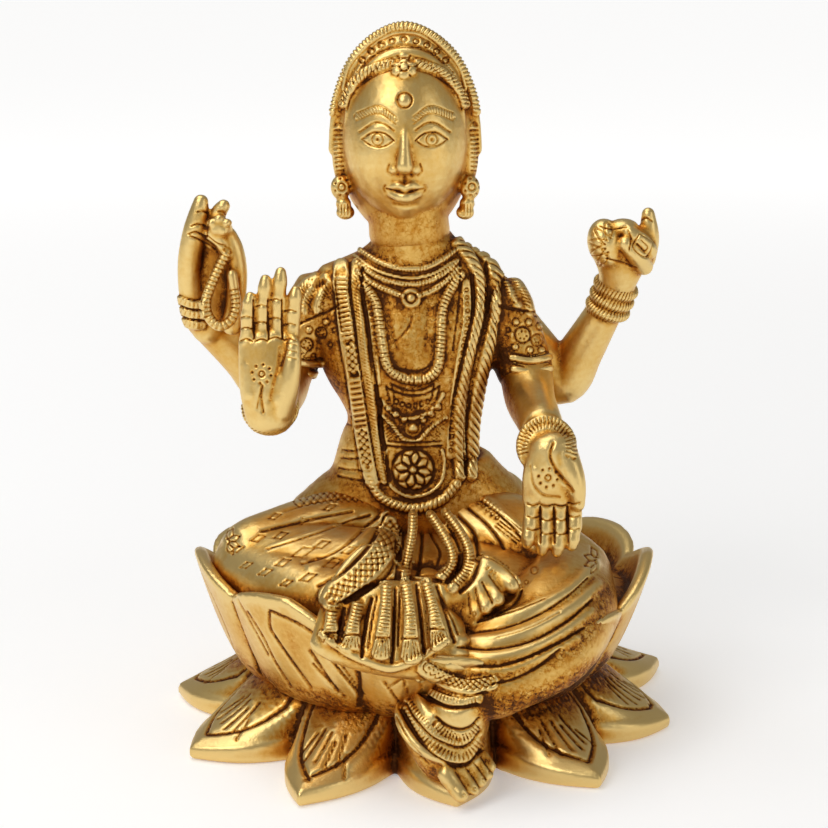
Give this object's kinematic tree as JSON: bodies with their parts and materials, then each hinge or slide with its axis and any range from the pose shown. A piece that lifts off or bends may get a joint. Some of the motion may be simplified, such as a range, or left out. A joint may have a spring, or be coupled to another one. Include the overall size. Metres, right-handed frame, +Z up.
{
  "type": "lakshmi figure",
  "caption": "Cast brass goddess seated on a lotus with one palm raised in blessing and one lowered in giving, on a petalled base, for a shelf or shrine.",
  "frame": {"origin": "centre of the flat underside of the lotus base", "axes": "+Z up to the crown, -Y towards the front that the figure faces, +X to the viewer's right"},
  "size_m": [0.1691, 0.1696, 0.2294],
  "materials": {
    "antique_brass": "polished on the high forms, brown patina in the recesses"
  },
  "bodies": {
    "root": {"lakshmi_statue": "antique_brass"}
  },
  "joints": []
}
